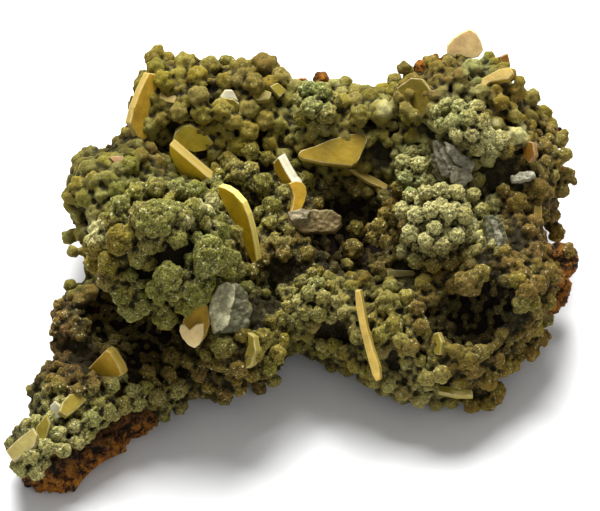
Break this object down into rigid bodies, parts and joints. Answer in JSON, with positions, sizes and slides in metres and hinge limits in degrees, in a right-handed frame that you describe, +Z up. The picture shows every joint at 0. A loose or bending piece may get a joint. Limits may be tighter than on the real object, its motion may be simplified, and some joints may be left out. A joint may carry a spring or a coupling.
{
  "type": "wulfenite and mimetite specimen",
  "caption": "Rough limonite matrix with a botryoidal olive mimetite crust and knobs, honey wulfenite tablets standing in it and a little grey calcite.",
  "frame": {"origin": "a point of the flat area under the matrix, on the surface that the specimen lies on", "axes": "+X to the right along the display face, +Z up out of the surface it lies on, and -Y towards the viewer of the display face"},
  "size_m": [0.0565, 0.0476, 0.0249],
  "materials": {
    "limonite": "rough, earthy, rust to black",
    "mimetite_olive": "finely drusy, olive green, with small glints",
    "wulfenite": "smooth, resinous to glassy, honey yellow, slightly see-through",
    "calcite": "grey to brownish, dull glassy, cloudy"
  },
  "bodies": {
    "root": {"limonite_matrix": "limonite", "mimetite_crust": "mimetite_olive", "mimetite_knob_large": "mimetite_olive", "mimetite_knob_right": "mimetite_olive", "mimetite_knob_green_spur": "mimetite_olive", "mimetite_knob_centre_small": "mimetite_olive", "mimetite_knob_upper_right": "mimetite_olive", "mimetite_knob_lower": "mimetite_olive", "mimetite_knob_green_top": "mimetite_olive", "calcite_grey_lump": "calcite", "calcite_brown_prism": "calcite", "calcite_grey_blades": "calcite", "calcite_grey_right": "calcite", "calcite_white_streak": "calcite", "wulfenite_upper_left_plate": "wulfenite", "wulfenite_upper_left_bar": "wulfenite", "wulfenite_olive_round": "wulfenite", "wulfenite_edge_blade": "wulfenite", "wulfenite_curved_blade": "wulfenite", "wulfenite_bright_edge": "wulfenite", "wulfenite_centre_plate": "wulfenite", "wulfenite_centre_splinter": "wulfenite", "wulfenite_pointed_tip": "wulfenite", "wulfenite_corner_up": "wulfenite", "wulfenite_foot_yellow": "wulfenite", "wulfenite_foot_small": "wulfenite", "wulfenite_foot_pale_plate": "wulfenite", "wulfenite_upper_right_bar": "wulfenite", "wulfenite_lozenge": "wulfenite", "wulfenite_behind_white": "wulfenite", "wulfenite_right_bar": "wulfenite", "wulfenite_needle": "wulfenite", "wulfenite_lower_plate": "wulfenite", "wulfenite_lower_bar": "wulfenite", "wulfenite_shadow_bar": "wulfenite", "wulfenite_cream_top": "wulfenite", "wulfenite_overgrown_blade": "wulfenite", "wulfenite_white_tip": "wulfenite", "wulfenite_back_pair_left": "wulfenite", "wulfenite_back_pair_right": "wulfenite", "wulfenite_brown_corner": "wulfenite", "wulfenite_left_chip": "wulfenite"}
  },
  "joints": []
}
